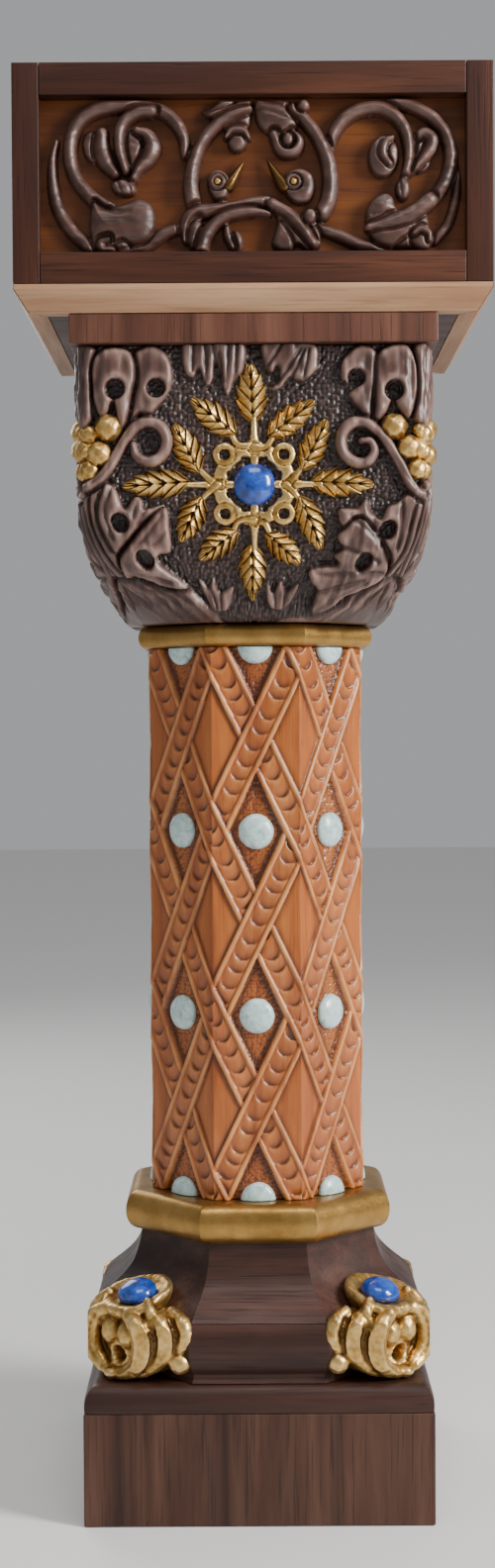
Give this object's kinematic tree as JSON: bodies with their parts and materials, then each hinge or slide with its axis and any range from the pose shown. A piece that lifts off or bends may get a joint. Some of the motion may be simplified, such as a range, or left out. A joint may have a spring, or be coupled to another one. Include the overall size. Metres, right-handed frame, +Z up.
{
  "type": "carved decorative column",
  "caption": "Octagonal carved wooden column with a square moulded base, cushion capital and panelled abacus, gilded and set with stones.",
  "frame": {"origin": "centre of the plinth's underside", "axes": "+Z up along the column; the front panel with the carved birds faces -Y; +X is the viewer's right from the front"},
  "size_m": [0.24, 0.2, 0.74],
  "materials": {
    "walnut": "dark brown walnut, satin wax over open straight grain",
    "pale_wood": "pale tan sapwood, satin",
    "cherry": "orange-brown cherry, oiled, with punched and gouged carving",
    "panel_wood": "orange-brown panel behind the carving, satin",
    "gilding": "aged gold leaf or gold paint over carved wood, satin",
    "lapis": "polished deep blue stone with mottled lighter veins",
    "pale_stone": "milky blue-green stone with chalky mottling, polished"
  },
  "bodies": {
    "root": {"abacus_base_board": "walnut", "abacus_top_board": "walnut", "back_rail_bottom": "walnut", "back_rail_top": "walnut", "back_stile_left": "walnut", "back_stile_right": "walnut", "base_lower_torus": "walnut", "base_ring": "gilding", "base_scotia": "walnut", "base_tenon": "pale_wood", "capital_block": "walnut", "capital_top_board": "walnut", "chamfer_strip_back": "pale_wood", "chamfer_strip_front": "pale_wood", "chamfer_strip_left": "pale_wood", "chamfer_strip_right": "pale_wood", "front_rail_bottom": "walnut", "front_rail_top": "walnut", "front_stile_left": "walnut", "front_stile_right": "walnut", "ground_panel_back": "panel_wood", "ground_panel_front": "panel_wood", "ground_panel_left": "panel_wood", "ground_panel_right": "panel_wood", "left_rail_bottom": "walnut", "left_rail_top": "walnut", "left_stile_left": "walnut", "left_stile_right": "walnut", "neck_ring": "gilding", "neck_tenon": "pale_wood", "plinth_block": "walnut", "plinth_cap": "walnut", "right_rail_bottom": "walnut", "right_rail_top": "walnut", "right_stile_left": "walnut", "right_stile_right": "walnut", "rosette_back": "gilding", "rosette_front": "gilding", "rosette_left": "gilding", "rosette_right": "gilding", "rosette_stone_back": "lapis", "rosette_stone_front": "lapis", "rosette_stone_left": "lapis", "rosette_stone_right": "lapis", "scroll_carving_back": "walnut", "scroll_carving_front": "walnut", "scroll_carving_left": "walnut", "scroll_carving_right": "walnut", "shaft": "cherry", "spur_back_left": "gilding", "spur_back_right": "gilding", "spur_front_left": "gilding", "spur_front_right": "gilding", "spur_stone_front_left": "lapis", "spur_stone_front_right": "lapis"}
  },
  "joints": []
}
